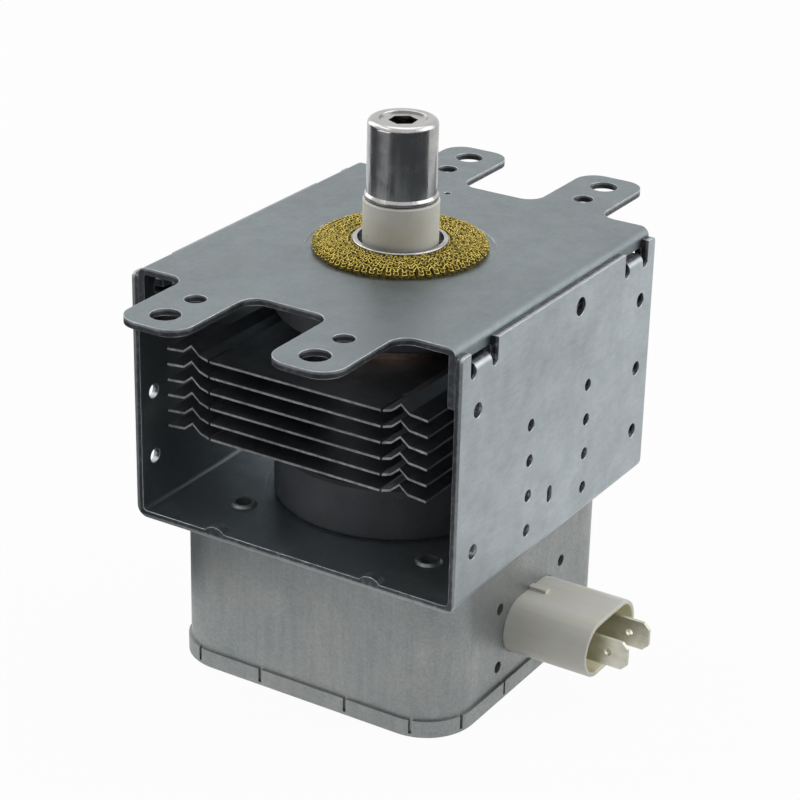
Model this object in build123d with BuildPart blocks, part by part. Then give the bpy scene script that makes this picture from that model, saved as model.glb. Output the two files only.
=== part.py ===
"""Magnetron: a permanent magnet microwave tube with its steel yoke, fins, filter box and socket.

Millimetres. The origin is on the antenna's axis, in the upper face of the mounting plate.
Z points along the antenna, X towards the socket, and air enters the open front at -Y.
"""

import os
from math import pi

from build123d import *

os.makedirs("parts", exist_ok=True)

# Yoke: a lower channel closed by a mounting plate
sheet = 1.5
yoke_width = 77.6
yoke_depth = 80.0
yoke_height = 56.4
channel_bend = 2.5
plate_bend = 2.0
flange_drop = 13.2
flange_corner = 1.5
flange_clearance = 0.1
wall_top = 1.7
wall_corner = 1.0

# Mounting ears and their holes
ear_width = 15.4
ear_reach = 23.8
ear_tip_radius = 5.0
ear_root_radius = 4.0
mount_pitch_x = 34.5
mount_pitch_y = 114.7
mount_hole = 6.2
spare_pitch_y = 95.3
spare_hole = 4.5
register_hole = 1.6
register_place = (-8.8, 33.6)

# Locks that hold the plate in the channel, one near each end of each wall
lock_place = 31.7
tongue_width = 6.0
tongue_bend = 1.7
tongue_top = 4.3
tongue_reach = 3.8
lock_slot = 2.2
lock_depth = 7.3
window_width = 10.2
window_top = 3.4
window_bottom = 6.9
window_radius = 1.2

# Pierced holes of the walls: (y, z, diameter)
corner_hole = 3.2
socket_wall_holes = [
    (-33.6, -14.5, corner_hole),
    (-33.6, -45.0, corner_hole),
    (34.6, -14.5, corner_hole),
    (34.6, -30.3, corner_hole),
    (34.6, -45.0, corner_hole),
    (7.2, -6.8, 4.0),
]
far_wall_holes = [
    (-35.5, -29.2, corner_hole),
    (-35.5, -44.0, corner_hole),
    (35.5, -29.2, corner_hole),
    (35.5, -44.0, corner_hole),
]
grid_hole = 2.7
grid_columns = (-11.8, 12.3)
grid_top = -26.0
grid_pitch = 7.87
grid_rows = 4
oval_hole = (3.8, 2.0)
oval_place = (-2.5, -45.1)

# Half-round pips pressed up along the front edge of the floor
pip_width = 4.8
pip_height = 1.1
pip_length = 2.4
pip_place = 19.0

# Ring magnets, one seated in a shallow pressing of the plate and one in the floor
magnet_diameter = 52.0
magnet_bore = 21.0
magnet_height = 12.0
magnet_chamfer = 0.6
seat_clearance = 1.8
seat_depth = 0.3

# Anode: cylinder, pole pieces and seal flanges stacked between the magnets
anode_diameter = 39.5
anode_wall = 2.5
pole_thickness = 1.5
pole_rim = 5.0
pole_gap = 2.55
pole_flat = 16.0
pole_bore = 9.2
seal_sheet = 0.5
seal_bend = 1.2

# Vanes and straps
vane_count = 10
vane_thickness = 2.0
vane_height = 9.5
vane_bore = 8.8
strap_height = 1.0
strap_thickness = 0.8
strap_sink = 0.3
inner_strap_radius = 6.9
outer_strap_radius = 8.4
strap_clearance = 0.3

# Cathode
filament_diameter = 3.9
filament_wire = 0.6
filament_turns = 7
hat_diameter = 8.0
hat_thickness = 1.2
hat_hub = 4.2
hat_hub_height = 0.6
lead_diameter = 1.5
lead_offset = 3.0
lead_clearance = 0.2
lead_straight = 6.0
lead_bend = 2.0
lead_shift = 6.0

# Output side: neck, insulator, seals and antenna
output_neck = 18.0
neck_end = -0.5
neck_lip = 2.8
insulator_diameter = 15.9
insulator_bore = 11.2
insulator_top = 10.7
insulator_chamfer = 0.3
cup_flange = 14.4
cup_sheet = 0.3
cup_height = 5.2
cap_diameter = 14.6
cap_wall = 0.6
cap_top = 27.7
cap_flare = 0.4
cap_corner = 1.2
cap_dish = 9.8
cap_dish_depth = 0.5
hex_corners = 6.1
hex_turn = 37.0
exhaust_diameter = 6.4
exhaust_wall = 0.8
exhaust_top = 25.2
tube_depth = 2.0
pinch_length = 3.2
pinch_spread = 1.0
pinch_thickness = 1.6
antenna_diameter = 1.8
antenna_root = 11.8
antenna_clearance = 1.2
antenna_step = (6.5, 1.5)
antenna_turn = 6.0

# Gasket and its collar
collar_wall = 0.55
collar_rim = 20.0
collar_rim_thickness = 0.6
collar_top = 2.1
collar_foot = -1.2
gasket_diameter = 36.6
gasket_crown = 1.45
gasket_rim = 0.4
gasket_clearance = 0.1
gasket_seat_diameter = 39.8
gasket_seat_depth = 0.25
gasket_folds = 60
fold_share = 0.35
fold_depth = 0.35
plate_bore_clearance = 0.4

# Input side: neck and stem
input_neck = 19.0
neck_below_floor = 1.6
stem_diameter = 18.6
stem_length = 10.5
stem_groove = 1.0
floor_bore = 24.0
terminal_diameter = 4.4
terminal_thickness = 0.8
terminal_tag = 3.4

# Filter box and its crimped lid
box_length_x = 68.6
box_length_y = 70.0
box_sheet = 0.8
box_corner = 10.8
box_shoulder = 2.0
box_height = 34.6
lid_sheet = 0.6
lid_rim = 3.4
rim_slit = 0.7
rim_slits_x = (10.7, 26.5)
rim_slits_y = (10.9, 27.7)
eyelet_bore = 3.6
eyelet_wall = 0.6
eyelet_flare = 0.5
eyelet_places = [(-21.6, -25.7), (24.2, -25.7), (-21.6, 25.7), (24.2, 25.7)]

# Socket and feed-through capacitor
socket_rise = 15.3
socket_width = 22.5
socket_height = 12.4
socket_wall = 1.0
socket_reach = 19.2
socket_key = (4.0, 1.6, 0.7)
socket_clearance = 0.15
capacitor_plate_size = (33.0, 21.0)
capacitor_plate_sheet = 1.0
capacitor_plate_corner = 2.0
stake_pitch_y = 26.2
stake_pitch_z = 13.8
stake_bore = 2.6
stake_wall = 0.5
throat_width = 17.0
throat_height = 7.0
rear_case_length = 15.0
element_width = 20.2
element_height = 10.0
element_length = 6.0
element_bore = 3.4
fill_front = 4.5
fill_rear = 12.0
tab_pitch = 9.8
tab_width = 6.3
tab_thickness = 0.8
tab_tip = 60.2
tab_bevel = 1.3
tab_hole = 1.6
tab_hole_inset = 4.5
tab_root = 36.0
rod_diameter = 1.6
rod_clearance = 0.1
rod_overhang = 2.0

# Chokes between the socket and the stem
choke_wire = 1.4
choke_diameter = 8.8
choke_turns = 7.5
choke_place = 15.5
choke_end_gap = 6.125
choke_lead_bend = 1.2
choke_joint = 0.5
choke_lead_run = 2.5
choke_lead_drop = 3.0
core_clearance = 0.3
core_overhang = 2.0

# Cooling fins pressed on the anode
fin_count = 6
fin_sheet = 0.5
fin_inset = 2.1
fin_pitch = 3.44
fin_half_width = 31.0
fin_depth = 78.0
fin_flat = 20.6
fin_ridge = [(22.9, 0.7), (24.9, 2.4), (26.9, 0.8)]
fin_lip_rise = 0.4
fin_collar = 2.2
fin_slit = 0.5
fin_slit_length = 9.0

# Levels and sizes that follow from the values above
half_width = yoke_width / 2
half_depth = yoke_depth / 2
wall_face = half_width - sheet
floor_level = sheet - yoke_height
plate_half = wall_face - flange_clearance
upper_magnet_top = seat_depth - sheet
lower_magnet_foot = floor_level - seat_depth
seat_diameter = magnet_diameter + 2 * seat_clearance
upper_flange_top = upper_magnet_top - magnet_height
lower_flange_foot = lower_magnet_foot + magnet_height
anode_middle = (upper_flange_top + lower_flange_foot) / 2
anode_half = (upper_flange_top - lower_flange_foot) / 2 - seal_sheet - pole_thickness
anode_length = 2 * anode_half
pole_drop = anode_half - vane_height / 2 - pole_gap
fin_level = anode_middle + anode_half - fin_inset
anode_bore = anode_diameter - 2 * anode_wall
vane_top = anode_middle + vane_height / 2
collar_bore = output_neck
collar_outer = collar_bore + 2 * collar_wall
plate_bore = collar_outer + 2 * plate_bore_clearance
box_top = -yoke_height
box_bottom = box_top - box_height
socket_z = box_bottom + socket_rise
box_face = box_length_x / 2
box_floor = box_bottom + lid_sheet
input_neck_end = box_top - neck_below_floor
stem_top = input_neck_end
stem_foot = stem_top - stem_length
plate_inner_face = box_face - box_sheet
plate_back = plate_inner_face - capacitor_plate_sheet


def sided(x, y):
    """Return the four places that mirror (x, y) about both middle planes."""
    return [(x, y), (-x, y), (x, -y), (-x, -y)]


def wall_plane(x):
    """Return the plane across X at x, with Y to its right and Z up."""
    return Plane(origin=(x, 0, 0), x_dir=(0, 1, 0), z_dir=(1, 0, 0))


def finish(name, part):
    """Name one piece and write its file."""
    part.label = name
    export_step(part, f"parts/{name}.step")


# Mounting plate: a folded channel whose flat top carries four ears
with BuildPart() as yoke_top_plate:
    with BuildSketch(Plane.XZ) as plate_section:
        Rectangle(2 * plate_half, flange_drop, align=(Align.CENTER, Align.MAX))
        fillet(plate_section.vertices().group_by(Axis.Y)[-1], plate_bend)
        with Locations((0, -sheet)):
            Rectangle(
                2 * (plate_half - sheet), flange_drop, align=(Align.CENTER, Align.MAX), mode=Mode.SUBTRACT
            )
        hollow_corners = plate_section.vertices().filter_by_position(Axis.Y, -sheet - 0.01, -sheet + 0.01)
        fillet(hollow_corners, plate_bend - sheet)
    extrude(amount=half_depth, both=True)
    flange_ends = yoke_top_plate.edges().filter_by(Axis.X).group_by(Axis.Z)[0]
    fillet(flange_ends, flange_corner)

    with BuildSketch() as ears:
        Rectangle(2 * (plate_half - plate_bend), yoke_depth)
        with Locations(*sided(mount_pitch_x / 2, half_depth + ear_reach / 2)):
            Rectangle(ear_width, ear_reach)
        roots = ears.vertices().filter_by(
            lambda v: abs(abs(v.Y) - half_depth) < 0.01 and abs(v.X) < plate_half - plate_bend - 0.01
        )
        fillet(roots, ear_root_radius)
        tips = ears.vertices().filter_by(lambda v: abs(v.Y) > half_depth + ear_reach - 0.01)
        fillet(tips, ear_tip_radius)
    extrude(amount=-sheet)

    with GridLocations(mount_pitch_x, mount_pitch_y, 2, 2):
        Hole(mount_hole / 2)
    with GridLocations(mount_pitch_x, spare_pitch_y, 2, 2):
        Hole(spare_hole / 2)
    with Locations(register_place):
        Hole(register_hole / 2)
    Hole(plate_bore / 2)
    Cylinder(
        gasket_seat_diameter / 2,
        gasket_seat_depth,
        align=(Align.CENTER, Align.CENTER, Align.MAX),
        mode=Mode.SUBTRACT,
    )
    with Locations((0, 0, -sheet)):
        Cylinder(
            seat_diameter / 2, seat_depth, align=(Align.CENTER, Align.CENTER, Align.MIN), mode=Mode.SUBTRACT
        )

    # windows of the flanges, behind the locks
    with BuildSketch(wall_plane(0)) as windows:
        with Locations(*[(side * lock_place, -(window_top + window_bottom) / 2) for side in (-1, 1)]):
            RectangleRounded(window_width, window_bottom - window_top, window_radius)
    extrude(amount=half_width, both=True, mode=Mode.SUBTRACT)
    with BuildSketch(wall_plane(half_width)):
        for y, z, diameter in socket_wall_holes:
            if z > -flange_drop:
                with Locations((y, z)):
                    Circle(diameter / 2)
    extrude(amount=-half_width / 2, mode=Mode.SUBTRACT)
finish("yoke_top_plate", yoke_top_plate.part)


# Lower channel of the yoke: floor and two walls, with the locks on the walls' upper edges
with BuildPart() as yoke_body:
    with BuildSketch(Plane.XZ) as channel_section:
        with Locations((0, -yoke_height)):
            Rectangle(yoke_width, yoke_height - wall_top, align=(Align.CENTER, Align.MIN))
        fillet(channel_section.vertices().group_by(Axis.Y)[0], channel_bend)
        with Locations((0, floor_level)):
            Rectangle(
                2 * wall_face, yoke_height, align=(Align.CENTER, Align.MIN), mode=Mode.SUBTRACT
            )
        inside = channel_section.vertices().filter_by_position(Axis.Y, floor_level - 0.01, floor_level + 0.01)
        fillet(inside, channel_bend - sheet)
    extrude(amount=half_depth, both=True)
    post_tops = yoke_body.edges().filter_by(Axis.X).group_by(Axis.Z)[-1]
    fillet(post_tops, wall_corner)

    # each lock's notch has a slot on both sides of the tongue, with round lower ends
    with BuildSketch(wall_plane(0)) as notches:
        for side in (-1, 1):
            with Locations((side * lock_place, -tongue_top)):
                Rectangle(
                    tongue_width + 2 * lock_slot, 2 * tongue_top, align=(Align.CENTER, Align.MIN)
                )
            for edge in (-1, 1):
                slot_middle = side * lock_place + edge * (tongue_width + lock_slot) / 2
                with Locations((slot_middle, -lock_depth + lock_slot / 2)):
                    Circle(lock_slot / 2)
                    Rectangle(lock_slot, lock_depth, align=(Align.CENTER, Align.MIN))
    extrude(amount=half_width, both=True, mode=Mode.SUBTRACT)

    # carry each tongue inwards through the flange, then round its bend
    for x_side in (-1, 1):
        for y_side in (-1, 1):
            with Locations((x_side * half_width, y_side * lock_place, -tongue_top)):
                Box(
                    tongue_reach,
                    tongue_width,
                    sheet,
                    align=(Align.MAX if x_side > 0 else Align.MIN, Align.CENTER, Align.MAX),
                )
    tongue_edges = yoke_body.edges().filter_by(Axis.Y).filter_by(
        lambda e: abs(e.center().Z + tongue_top) < 0.01 and abs(abs(e.center().X) - half_width) < 0.01
    )
    fillet(tongue_edges, tongue_bend)

    # holes of the walls
    with BuildSketch(wall_plane(half_width)):
        for y, z, diameter in socket_wall_holes:
            with Locations((y, z)):
                Circle(diameter / 2)
        for column in grid_columns:
            for row in range(grid_rows):
                with Locations((column, grid_top - row * grid_pitch)):
                    Circle(grid_hole / 2)
        with Locations(oval_place):
            SlotOverall(*oval_hole, rotation=90)
    extrude(amount=-2 * sheet, mode=Mode.SUBTRACT)
    with BuildSketch(wall_plane(-half_width)):
        for y, z, diameter in far_wall_holes:
            with Locations((y, z)):
                Circle(diameter / 2)
    extrude(amount=2 * sheet, mode=Mode.SUBTRACT)

    # floor: bore for the neck, magnet seat, eyelet holes and the pressed pips
    with Locations((0, 0, floor_level)):
        Cylinder(
            seat_diameter / 2, seat_depth, align=(Align.CENTER, Align.CENTER, Align.MAX), mode=Mode.SUBTRACT
        )
        Cylinder(floor_bore / 2, 4 * sheet, mode=Mode.SUBTRACT)
    with Locations(*[(x, y, floor_level) for x, y in eyelet_places]):
        Cylinder(eyelet_bore / 2 + eyelet_wall, 4 * sheet, mode=Mode.SUBTRACT)
    pip_radius = (pip_width**2 / 4 + pip_height**2) / (2 * pip_height)
    with BuildSketch(Plane.XZ.offset(half_depth)) as pips:
        with Locations(*[(side * pip_place, floor_level + pip_height - pip_radius) for side in (-1, 1)]):
            Circle(pip_radius)
        with Locations((0, floor_level)):
            Rectangle(yoke_width, 2 * pip_radius, align=(Align.CENTER, Align.MAX), mode=Mode.SUBTRACT)
    extrude(amount=-pip_length)
finish("yoke_body", yoke_body.part)


# Ring magnets, both alike
def ring_magnet(foot):
    """Return a ring magnet that stands on the level foot."""
    with BuildPart() as ring:
        with Locations((0, 0, foot)):
            Cylinder(
                magnet_diameter / 2, magnet_height, align=(Align.CENTER, Align.CENTER, Align.MIN)
            )
            Cylinder(magnet_bore / 2, 3 * magnet_height, mode=Mode.SUBTRACT)
        chamfer(ring.edges().filter_by(GeomType.CIRCLE), magnet_chamfer)
    return ring.part


finish("upper_magnet", ring_magnet(upper_magnet_top - magnet_height))
finish("lower_magnet", ring_magnet(lower_magnet_foot))


# Cooling fins: a flat middle, a ridge along each side and a drawn collar on the anode
def fin_half_profile():
    """Return the upper side of a fin's section from its middle to its lip."""
    return [(0, 0), (fin_flat, 0), *fin_ridge, (fin_half_width, fin_lip_rise)]


for number in range(fin_count):
    level = fin_level - number * fin_pitch
    with BuildPart() as fin:
        with BuildSketch(Plane.XZ) as fin_section:
            with BuildLine():
                upper = [(x, level + fin_sheet / 2 + rise) for x, rise in fin_half_profile()]
                lower = [(x, z - fin_sheet) for x, z in reversed(upper)]
                Polyline(*upper, *lower, close=True)
            make_face()
            mirror(about=Plane.YZ)
        extrude(amount=fin_depth / 2, both=True)
        with Locations((0, 0, level + fin_sheet / 2)):
            Cylinder(
                anode_diameter / 2 + fin_sheet,
                fin_collar + fin_sheet,
                align=(Align.CENTER, Align.CENTER, Align.MAX),
            )
            Cylinder(anode_diameter / 2, 6 * fin_collar, mode=Mode.SUBTRACT)
        slit_middle = (fin_depth - fin_slit_length) / 2
        with Locations(*[(x, y, level) for x, y in sided(fin_flat, slit_middle)]):
            Box(fin_slit, fin_slit_length, 4 * fin_sheet, mode=Mode.SUBTRACT)
    finish(f"cooling_fin_{number + 1}", fin.part)


# Anode cylinder
with BuildPart() as anode_cylinder:
    with Locations((0, 0, anode_middle)):
        Cylinder(anode_diameter / 2, anode_length)
        Cylinder(anode_bore / 2, anode_length, mode=Mode.SUBTRACT)
finish("anode_cylinder", anode_cylinder.part)


# Vanes: each end is stepped so that one strap rests on it and the other passes clear
strap_inner_edge = inner_strap_radius - strap_thickness / 2 - strap_clearance
strap_outer_edge = outer_strap_radius + strap_thickness / 2 + strap_clearance
strap_divide = (inner_strap_radius + outer_strap_radius) / 2
rest_depth = strap_sink + strap_height
clear_depth = rest_depth + 2 * strap_clearance

for number in range(vane_count):
    with BuildPart() as vane:
        with BuildSketch(Plane.XZ) as vane_face:
            with Locations((vane_bore / 2, anode_middle)):
                Rectangle(anode_bore / 2, vane_height, align=(Align.MIN, Align.CENTER))
            for end in (-1, 1):
                inner_rests = (number + (end > 0)) % 2 == 0
                inner_depth = rest_depth if inner_rests else clear_depth
                outer_depth = clear_depth if inner_rests else rest_depth
                edge = anode_middle + end * vane_height / 2
                side = Align.MAX if end > 0 else Align.MIN
                with Locations((strap_inner_edge, edge)):
                    Rectangle(
                        strap_divide - strap_inner_edge, inner_depth, align=(Align.MIN, side), mode=Mode.SUBTRACT
                    )
                with Locations((strap_divide, edge)):
                    Rectangle(
                        strap_outer_edge - strap_divide, outer_depth, align=(Align.MIN, side), mode=Mode.SUBTRACT
                    )
        extrude(amount=vane_thickness / 2, both=True)
        with Locations((0, 0, anode_middle)):
            Cylinder(anode_bore / 2, vane_height, mode=Mode.INTERSECT)
    turned = vane.part.rotate(Axis.Z, number * 360 / vane_count)
    finish(f"anode_vane_{number + 1}", turned)


# Straps: two rings at each end of the vanes
for end_name, end in (("upper", 1), ("lower", -1)):
    for ring_name, radius in (("inner", inner_strap_radius), ("outer", outer_strap_radius)):
        with BuildPart() as strap:
            with Locations((0, 0, anode_middle + end * (vane_height / 2 - strap_sink - strap_height / 2))):
                Cylinder(radius + strap_thickness / 2, strap_height)
                Cylinder(radius - strap_thickness / 2, strap_height, mode=Mode.SUBTRACT)
        finish(f"{end_name}_{ring_name}_strap", strap.part)


# Pole pieces: funnels whose flat middles come close to the vanes
def pole_profile(end):
    """Return the corners of a pole piece's section, with end 1 for the upper one."""
    rim_face = anode_middle + end * anode_half
    rim_back = rim_face + end * pole_thickness
    flat_face = rim_face - end * pole_drop
    flat_back = rim_back - end * pole_drop
    rim_edge = anode_diameter / 2 - pole_rim
    return [
        (anode_diameter / 2, rim_face),
        (rim_edge, rim_face),
        (pole_flat / 2, flat_face),
        (pole_bore / 2, flat_face),
        (pole_bore / 2, flat_back),
        (pole_flat / 2, flat_back),
        (rim_edge, rim_back),
        (anode_diameter / 2, rim_back),
    ]


for name, end in (("upper_pole_piece", 1), ("lower_pole_piece", -1)):
    with BuildPart() as pole_piece:
        with BuildSketch(Plane.XZ):
            with BuildLine():
                Polyline(*pole_profile(end), close=True)
            make_face()
        revolve(axis=Axis.Z)
        if end > 0:
            with Locations((antenna_root, 0, anode_middle + anode_half)):
                Cylinder(antenna_diameter / 2 + antenna_clearance, 3 * pole_drop, mode=Mode.SUBTRACT)
    finish(name, pole_piece.part)


# Metal seals: thin drawn bells that carry the insulators
def bell_seal(flange_face, neck_diameter, end_level):
    """Return a bell whose flange lies on flange_face and whose neck ends at end_level."""
    way = 1 if end_level > flange_face else -1
    neck = neck_diameter / 2
    flange_back = flange_face + way * seal_sheet
    lip_back = end_level - way * seal_sheet
    with BuildPart() as bell:
        with BuildSketch(Plane.XZ) as bell_section:
            with BuildLine():
                Polyline(
                    (anode_diameter / 2, flange_face),
                    (neck - seal_sheet, flange_face),
                    (neck - seal_sheet, lip_back),
                    (neck - neck_lip, lip_back),
                    (neck - neck_lip, end_level),
                    (neck, end_level),
                    (neck, flange_back),
                    (anode_diameter / 2, flange_back),
                    close=True,
                )
            make_face()
            near_flange = bell_section.vertices().filter_by(
                lambda v: abs(v.Y - flange_back) < 0.01 and abs(v.X - neck) < 0.01
            )
            fillet(near_flange, seal_bend)
            near_mouth = bell_section.vertices().filter_by(
                lambda v: abs(v.Y - flange_face) < 0.01 and abs(v.X - neck + seal_sheet) < 0.01
            )
            fillet(near_mouth, seal_bend + seal_sheet)
            outer_end = bell_section.vertices().filter_by(
                lambda v: abs(v.Y - end_level) < 0.01 and abs(v.X - neck) < 0.01
            )
            fillet(outer_end, seal_sheet)
        revolve(axis=Axis.Z)
    return bell.part


finish("output_seal", bell_seal(upper_flange_top - seal_sheet, output_neck, neck_end))
finish("input_seal", bell_seal(lower_flange_foot + seal_sheet, input_neck, input_neck_end))


# Output insulator
with BuildPart() as antenna_insulator:
    with Locations((0, 0, neck_end)):
        Cylinder(
            insulator_diameter / 2,
            insulator_top - neck_end,
            align=(Align.CENTER, Align.CENTER, Align.MIN),
        )
        Cylinder(insulator_bore / 2, 4 * insulator_top, mode=Mode.SUBTRACT)
    chamfer(antenna_insulator.edges().filter_by(GeomType.CIRCLE), insulator_chamfer)
finish("antenna_insulator", antenna_insulator.part)


# Exhaust cup on the insulator, which the cap is pressed over
cup_radius = cap_diameter / 2 - cap_wall
cup_top = insulator_top + cup_height
with BuildPart() as exhaust_cup:
    with BuildSketch(Plane.XZ) as cup_section:
        with BuildLine():
            Polyline(
                (cup_radius - cup_sheet, insulator_top),
                (cup_flange / 2, insulator_top),
                (cup_flange / 2, insulator_top + cup_sheet),
                (cup_radius, insulator_top + cup_sheet),
                (cup_radius, cup_top),
                (exhaust_diameter / 2, cup_top),
                (exhaust_diameter / 2, cup_top - cup_sheet),
                (cup_radius - cup_sheet, cup_top - cup_sheet),
                close=True,
            )
        make_face()
        cup_edge = cup_section.vertices().filter_by(
            lambda v: abs(v.Y - cup_top) < 0.01 and abs(v.X - cup_radius) < 0.01
        )
        fillet(cup_edge, 2 * cup_sheet)
    revolve(axis=Axis.Z)
finish("exhaust_cup", exhaust_cup.part)


# Exhaust tube, pinched flat at its end around the antenna lead
with BuildPart() as exhaust_tube:
    tube_foot = cup_top - tube_depth
    pinch_foot = exhaust_top - pinch_length
    shoulder = pinch_foot - exhaust_diameter / 2
    with Locations((0, 0, tube_foot)):
        Cylinder(
            exhaust_diameter / 2, shoulder - tube_foot, align=(Align.CENTER, Align.CENTER, Align.MIN)
        )
    with BuildSketch(Plane.XY.offset(shoulder)):
        Circle(exhaust_diameter / 2)
    with BuildSketch(Plane.XY.offset(pinch_foot)):
        Ellipse(exhaust_diameter / 2 + pinch_spread, pinch_thickness / 2)
    loft()
    with BuildSketch(Plane.XY.offset(pinch_foot)):
        Ellipse(exhaust_diameter / 2 + pinch_spread, pinch_thickness / 2)
    extrude(amount=pinch_length)
    with Locations((0, 0, tube_foot)):
        Cylinder(
            exhaust_diameter / 2 - exhaust_wall,
            shoulder - tube_foot,
            align=(Align.CENTER, Align.CENTER, Align.MIN),
            mode=Mode.SUBTRACT,
        )
finish("exhaust_tube", exhaust_tube.part)


# Antenna cap: drawn thimble with a flared foot, a dished top and a hexagonal hole
cap_foot = insulator_top + cup_sheet
with BuildPart() as antenna_cap:
    outer = cap_diameter / 2
    inner = outer - cap_wall
    dish = cap_dish / 2
    with BuildSketch(Plane.XZ) as cap_section:
        with BuildLine():
            Polyline(
                (0, cap_top - cap_dish_depth),
                (dish, cap_top - cap_dish_depth),
                (dish, cap_top),
                (outer, cap_top),
                (outer, cap_foot + 2 * cap_wall),
                (outer + cap_flare, cap_foot + cap_wall),
                (outer + cap_flare, cap_foot),
                (inner, cap_foot),
                (inner, cap_top - cap_wall - cap_dish_depth),
                (0, cap_top - cap_wall - cap_dish_depth),
                close=True,
            )
        make_face()
        crown_edge = cap_section.vertices().filter_by(
            lambda v: abs(v.Y - cap_top) < 0.01 and abs(v.X - outer) < 0.01
        )
        fillet(crown_edge, cap_corner)
        dish_edge = cap_section.vertices().filter_by(
            lambda v: abs(v.Y - cap_top) < 0.01 and abs(v.X - dish) < 0.01
        )
        fillet(dish_edge, cap_dish_depth / 2)
        foot_edges = cap_section.vertices().filter_by(lambda v: v.X > outer + cap_flare - 0.01)
        fillet(foot_edges, cap_wall / 3)
    revolve(axis=Axis.Z)
    with BuildSketch(Plane.XY.offset(cap_top)):
        RegularPolygon(hex_corners / 2, 6, rotation=hex_turn)
    extrude(amount=-2 * cap_wall - cap_dish_depth, mode=Mode.SUBTRACT)
finish("antenna_cap", antenna_cap.part)


# Antenna lead: from the first vane through the upper pole piece to the pinched tube
with BuildPart() as antenna_lead:
    with BuildLine() as antenna_route:
        FilletPolyline(
            (antenna_root, 0, vane_top),
            (antenna_root, 0, upper_flange_top - antenna_step[1] - antenna_clearance),
            (antenna_step[0], 0, upper_flange_top - antenna_step[1]),
            (0, 0, upper_flange_top + antenna_turn),
            (0, 0, exhaust_top - pinch_length - exhaust_diameter / 2),
            radius=antenna_diameter,
        )
    with BuildSketch(Plane(origin=antenna_route.line @ 0, z_dir=antenna_route.line % 0)):
        Circle(antenna_diameter / 2)
    sweep()
finish("antenna_lead", antenna_lead.part)


# Collar that holds the gasket's inner edge down
with BuildPart() as gasket_collar:
    with BuildSketch(Plane.XZ) as collar_section:
        with BuildLine():
            Polyline(
                (collar_bore / 2, collar_foot),
                (collar_outer / 2, collar_foot),
                (collar_outer / 2, collar_top - collar_rim_thickness),
                (collar_rim / 2, collar_top - collar_rim_thickness),
                (collar_rim / 2, collar_top),
                (collar_bore / 2, collar_top),
                close=True,
            )
        make_face()
        rim_edge = collar_section.vertices().filter_by(
            lambda v: abs(v.Y - collar_top) < 0.01 and v.X > collar_outer / 2
        )
        fillet(rim_edge, collar_rim_thickness / 2)
    revolve(axis=Axis.Z)
finish("gasket_collar", gasket_collar.part)


# Knitted wire gasket: a domed ring with radial folds between the rows of stitches
gasket_foot = -gasket_seat_depth
gasket_bore = collar_outer / 2 + gasket_clearance
gasket_edge = gasket_diameter / 2
inner_height = collar_top - collar_rim_thickness - 2 * gasket_clearance
crown_radius = (gasket_bore + gasket_edge) / 2
fold_width = fold_share * 2 * pi * gasket_bore / gasket_folds
with BuildPart() as mesh_gasket:
    with BuildSketch(Plane.XZ):
        with BuildLine():
            Polyline(
                (gasket_bore, inner_height),
                (gasket_bore, gasket_foot),
                (gasket_edge, gasket_foot),
                (gasket_edge, gasket_foot + gasket_rim),
            )
            ThreePointArc(
                (gasket_edge, gasket_foot + gasket_rim),
                (crown_radius, gasket_crown),
                (gasket_bore, inner_height),
            )
        make_face()
    revolve(axis=Axis.Z)
    with BuildPart(mode=Mode.PRIVATE) as fold:
        with BuildLine() as fold_route:
            ThreePointArc(
                (gasket_edge, 0, gasket_foot + gasket_rim),
                (crown_radius, 0, gasket_crown),
                (collar_rim / 2 + fold_depth, 0, inner_height),
            )
        with BuildSketch(Plane(origin=fold_route.line @ 0, x_dir=(0, -1, 0), z_dir=fold_route.line % 0)):
            Polygon((-fold_width, fold_depth), (fold_width, fold_depth), (0, -fold_depth), align=None)
        sweep()
    with PolarLocations(0, gasket_folds):
        add(fold.part, mode=Mode.SUBTRACT)
finish("mesh_gasket", mesh_gasket.part)


# Cathode: end hats, filament and the two leads
upper_hat_foot = vane_top + hat_hub_height
lower_hat_top = anode_middle - vane_height / 2 - hat_hub_height
with BuildPart() as upper_end_hat:
    with Locations((0, 0, upper_hat_foot)):
        Cylinder(hat_diameter / 2, hat_thickness, align=(Align.CENTER, Align.CENTER, Align.MIN))
        Cylinder(hat_hub / 2, hat_hub_height, align=(Align.CENTER, Align.CENTER, Align.MAX))
        Cylinder(
            lead_diameter / 2, 4 * hat_thickness, align=(Align.CENTER, Align.CENTER, Align.CENTER), mode=Mode.SUBTRACT
        )
    chamfer(upper_end_hat.faces().sort_by(Axis.Z)[-1].outer_wire().edges(), hat_thickness / 4)
finish("upper_end_hat", upper_end_hat.part)

with BuildPart() as lower_end_hat:
    with Locations((0, 0, lower_hat_top)):
        Cylinder(hat_diameter / 2, hat_thickness, align=(Align.CENTER, Align.CENTER, Align.MAX))
        Cylinder(hat_hub / 2, hat_hub_height, align=(Align.CENTER, Align.CENTER, Align.MIN))
        Cylinder(lead_diameter / 2 + lead_clearance, 4 * hat_thickness, mode=Mode.SUBTRACT)
finish("lower_end_hat", lower_end_hat.part)

with BuildPart() as cathode_filament:
    coil_height = vane_height - filament_wire
    with BuildLine(Plane.XY.offset(anode_middle - coil_height / 2)) as filament_route:
        Helix(coil_height / filament_turns, coil_height, (filament_diameter - filament_wire) / 2)
    with BuildSketch(Plane(origin=filament_route.line @ 0, z_dir=filament_route.line % 0)):
        Circle(filament_wire / 2)
    sweep(is_frenet=True)
finish("cathode_filament", cathode_filament.part)

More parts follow.
